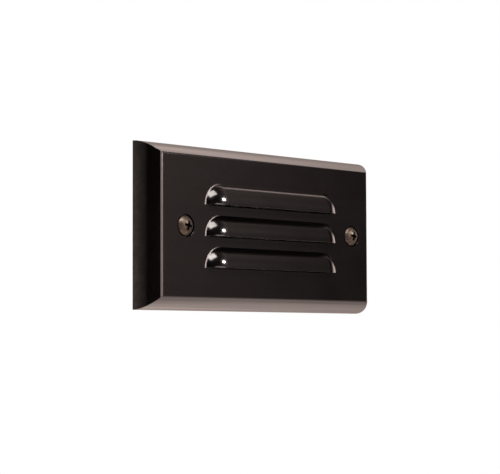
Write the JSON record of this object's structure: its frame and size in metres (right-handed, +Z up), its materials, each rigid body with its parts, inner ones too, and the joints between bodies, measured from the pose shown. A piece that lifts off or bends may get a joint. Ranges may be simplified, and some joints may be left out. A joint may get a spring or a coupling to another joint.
{
  "type": "step light",
  "caption": "Recessed step light: bevelled rectangular plate with downward louvers over a lens and lamp in a shallow cast back box, held by two screws.",
  "frame": {"origin": "middle of the box opening on the wall plane, where the flange's back lies on the wall", "axes": "+X to the right along the plate seen from the front, +Y into the wall, +Z up; the louvers open downwards"},
  "size_m": [0.1142, 0.05, 0.0572],
  "materials": {
    "plate_finish": "dark bronze powder coat, satin gloss",
    "screw_bronze": "antique bronze plating",
    "washer_nylon": "natural nylon",
    "foam": "closed-cell foam",
    "silicone": "grey silicone",
    "frosted_glass": "frosted, tempered",
    "plated_steel": "zinc plated",
    "cast_alloy": "as cast",
    "black_rubber": "moulded",
    "bright_sheet": "bright rolled",
    "clear_glass": "clear",
    "nickel_wire": "drawn wire",
    "tungsten": "drawn wire",
    "socket_resin": "moulded thermoset",
    "contact_brass": "stamped",
    "block_nylon": "moulded nylon",
    "black_sleeve": "extruded insulation",
    "white_sleeve": "extruded insulation"
  },
  "bodies": {
    "housing": {"housing": "cast_alloy", "rear_hub": "plated_steel", "cord_bushing": "black_rubber", "reflector": "bright_sheet", "reflector_screws": "plated_steel", "lamp_socket": "socket_resin", "socket_contact_front": "contact_brass", "socket_contact_back": "contact_brass", "socket_bracket": "plated_steel", "bracket_screw": "plated_steel", "terminal_block": "block_nylon", "terminal_sleeves": "contact_brass", "terminal_screws": "plated_steel", "terminal_block_screw": "plated_steel", "lead_black": "black_sleeve", "lead_white": "white_sleeve"},
    "plate": {"faceplate": "plate_finish", "faceplate_gasket": "foam", "lens_gasket": "silicone", "lens": "frosted_glass", "lens_retainer": "plated_steel", "lens_retainer_screws": "plated_steel"},
    "washer_left": {"retaining_washer_left": "washer_nylon"},
    "screw_left": {"faceplate_screw_left": "screw_bronze"},
    "washer_right": {"retaining_washer_right": "washer_nylon"},
    "screw_right": {"faceplate_screw_right": "screw_bronze"},
    "lamp": {"lamp_envelope": "clear_glass", "lamp_base_wires": "nickel_wire", "filament_posts": "nickel_wire", "lamp_filament": "tungsten"}
  },
  "joints": [
    {"name": "plate_lift", "type": "slide", "parent": "housing", "child": "plate", "axis": [0, -1, 0], "range_m": [0, 0.06]},
    {"name": "screw_left_travel", "type": "slide", "parent": "plate", "child": "washer_left", "axis": [0, -1, 0], "range_m": [0, 0.00476]},
    {"name": "screw_left_turn", "type": "hinge", "parent": "washer_left", "child": "screw_left", "pos_m": [-0.04285, -0.006, 0], "axis": [0, -1, 0], "range_deg": [0, 2160]},
    {"name": "screw_right_travel", "type": "slide", "parent": "plate", "child": "washer_right", "axis": [0, -1, 0], "range_m": [0, 0.00476]},
    {"name": "screw_right_turn", "type": "hinge", "parent": "washer_right", "child": "screw_right", "pos_m": [0.04285, -0.006, 0], "axis": [0, -1, 0], "range_deg": [0, 2160]},
    {"name": "lamp_pull", "type": "slide", "parent": "housing", "child": "lamp", "axis": [-1, 0, 0], "range_m": [0, 0.01]}
  ],
  "couplings": [
    {"joint": "screw_left_turn", "follows": "screw_left_travel", "rad_per_m": 7915.8},
    {"joint": "screw_right_turn", "follows": "screw_right_travel", "rad_per_m": 7915.8}
  ]
}
